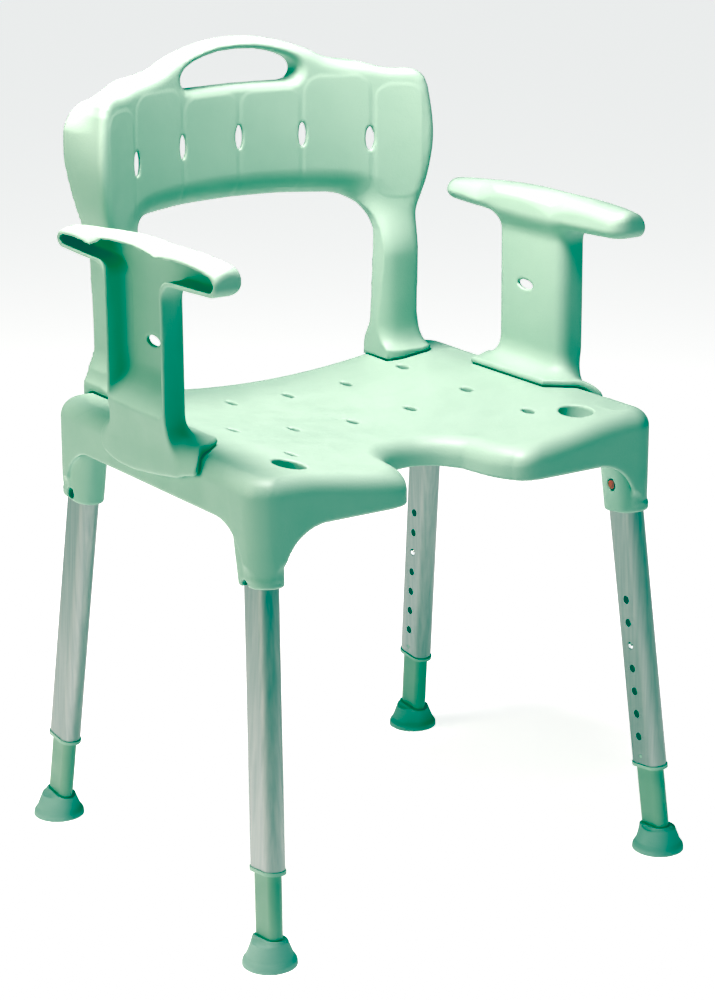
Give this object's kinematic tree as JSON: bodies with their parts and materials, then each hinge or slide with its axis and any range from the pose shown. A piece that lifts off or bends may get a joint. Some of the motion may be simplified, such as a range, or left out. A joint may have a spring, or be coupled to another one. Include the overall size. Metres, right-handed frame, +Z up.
{
  "type": "shower stool",
  "caption": "Shower stool with armrests and a curved backrest, hand holds, a cut-out front edge and height-adjustable legs with rubber feet.",
  "frame": {"origin": "on the floor, midway between the four feet", "axes": "+X to the viewer's right seen from the front, -Y towards the front (the way a sitter faces), +Z up"},
  "size_m": [0.543, 0.4944, 0.83],
  "materials": {
    "mint_plastic": "fine-grained moulded plastic, satin",
    "green_plastic": "moulded plastic, satin",
    "green_rubber": "matt rubber",
    "aluminium": "satin anodised, drawn lengthwise",
    "snap_steel": "polished stainless steel",
    "spring_steel": "plain stainless spring strip",
    "red_plastic": "semi-gloss red plastic"
  },
  "bodies": {
    "frame": {"seat_shell": "mint_plastic", "tube_front_left": "aluminium", "bush_front_left": "mint_plastic", "lock_spring_front_left": "spring_steel", "tube_front_right": "aluminium", "bush_front_right": "mint_plastic", "lock_spring_front_right": "spring_steel", "tube_rear_left": "aluminium", "bush_rear_left": "mint_plastic", "lock_spring_rear_left": "spring_steel", "tube_rear_right": "aluminium", "bush_rear_right": "mint_plastic", "lock_spring_rear_right": "spring_steel"},
    "backrest": {"backrest": "mint_plastic"},
    "armrest_left": {"armrest_left": "mint_plastic"},
    "armrest_right": {"armrest_right": "mint_plastic"},
    "leg_front_left": {"leg_front_left": "green_plastic", "foot_front_left": "green_rubber", "snap_spring_front_left": "spring_steel"},
    "snap_button_front_left": {"snap_button_front_left": "snap_steel"},
    "lock_button_front_left": {"lock_button_front_left": "red_plastic"},
    "leg_front_right": {"leg_front_right": "green_plastic", "foot_front_right": "green_rubber", "snap_spring_front_right": "spring_steel"},
    "snap_button_front_right": {"snap_button_front_right": "snap_steel"},
    "lock_button_front_right": {"lock_button_front_right": "red_plastic"},
    "leg_rear_left": {"leg_rear_left": "green_plastic", "foot_rear_left": "green_rubber", "snap_spring_rear_left": "spring_steel"},
    "snap_button_rear_left": {"snap_button_rear_left": "snap_steel"},
    "lock_button_rear_left": {"lock_button_rear_left": "red_plastic"},
    "leg_rear_right": {"leg_rear_right": "green_plastic", "foot_rear_right": "green_rubber", "snap_spring_rear_right": "spring_steel"},
    "snap_button_rear_right": {"snap_button_rear_right": "snap_steel"},
    "lock_button_rear_right": {"lock_button_rear_right": "red_plastic"}
  },
  "joints": [
    {"name": "backrest_lift", "type": "slide", "parent": "frame", "child": "backrest", "axis": [0, 0, 1], "range_m": [0, 0.065]},
    {"name": "armrest_left_lift", "type": "slide", "parent": "frame", "child": "armrest_left", "axis": [0, 0, 1], "range_m": [0, 0.045]},
    {"name": "armrest_right_lift", "type": "slide", "parent": "frame", "child": "armrest_right", "axis": [0, 0, 1], "range_m": [0, 0.045]},
    {"name": "leg_front_left_height", "type": "slide", "parent": "frame", "child": "leg_front_left", "axis": [0.0576, 0.113, 0.9919], "range_m": [-0.1, 0.05]},
    {"name": "snap_button_front_left_press", "type": "slide", "parent": "leg_front_left", "child": "snap_button_front_left", "axis": [-0.9983, 0, 0.0579], "range_m": [0, 0.0032], "stiffness_N_per_m": 1500, "springref_m": -0.001, "deforming": ["snap_spring_front_left"]},
    {"name": "lock_button_front_left_press", "type": "slide", "parent": "frame", "child": "lock_button_front_left", "axis": [-0.9983, 0, 0.0579], "range_m": [0, 0.0068], "stiffness_N_per_m": 1500, "springref_m": -0.001, "deforming": ["lock_spring_front_left"]},
    {"name": "leg_front_right_height", "type": "slide", "parent": "frame", "child": "leg_front_right", "axis": [-0.0576, 0.113, 0.9919], "range_m": [-0.1, 0.05]},
    {"name": "snap_button_front_right_press", "type": "slide", "parent": "leg_front_right", "child": "snap_button_front_right", "axis": [0.9983, 0, 0.0579], "range_m": [0, 0.0032], "stiffness_N_per_m": 1500, "springref_m": -0.001, "deforming": ["snap_spring_front_right"]},
    {"name": "lock_button_front_right_press", "type": "slide", "parent": "frame", "child": "lock_button_front_right", "axis": [0.9983, 0, 0.0579], "range_m": [0, 0.0068], "stiffness_N_per_m": 1500, "springref_m": -0.001, "deforming": ["lock_spring_front_right"]},
    {"name": "leg_rear_left_height", "type": "slide", "parent": "frame", "child": "leg_rear_left", "axis": [0.0449, -0.1241, 0.9912], "range_m": [-0.1, 0.05]},
    {"name": "snap_button_rear_left_press", "type": "slide", "parent": "leg_rear_left", "child": "snap_button_rear_left", "axis": [-0.999, 0, 0.0453], "range_m": [0, 0.0032], "stiffness_N_per_m": 1500, "springref_m": -0.001, "deforming": ["snap_spring_rear_left"]},
    {"name": "lock_button_rear_left_press", "type": "slide", "parent": "frame", "child": "lock_button_rear_left", "axis": [-0.999, 0, 0.0453], "range_m": [0, 0.0068], "stiffness_N_per_m": 1500, "springref_m": -0.001, "deforming": ["lock_spring_rear_left"]},
    {"name": "leg_rear_right_height", "type": "slide", "parent": "frame", "child": "leg_rear_right", "axis": [-0.0449, -0.1241, 0.9912], "range_m": [-0.1, 0.05]},
    {"name": "snap_button_rear_right_press", "type": "slide", "parent": "leg_rear_right", "child": "snap_button_rear_right", "axis": [0.999, 0, 0.0453], "range_m": [0, 0.0032], "stiffness_N_per_m": 1500, "springref_m": -0.001, "deforming": ["snap_spring_rear_right"]},
    {"name": "lock_button_rear_right_press", "type": "slide", "parent": "frame", "child": "lock_button_rear_right", "axis": [0.999, 0, 0.0453], "range_m": [0, 0.0068], "stiffness_N_per_m": 1500, "springref_m": -0.001, "deforming": ["lock_spring_rear_right"]}
  ]
}
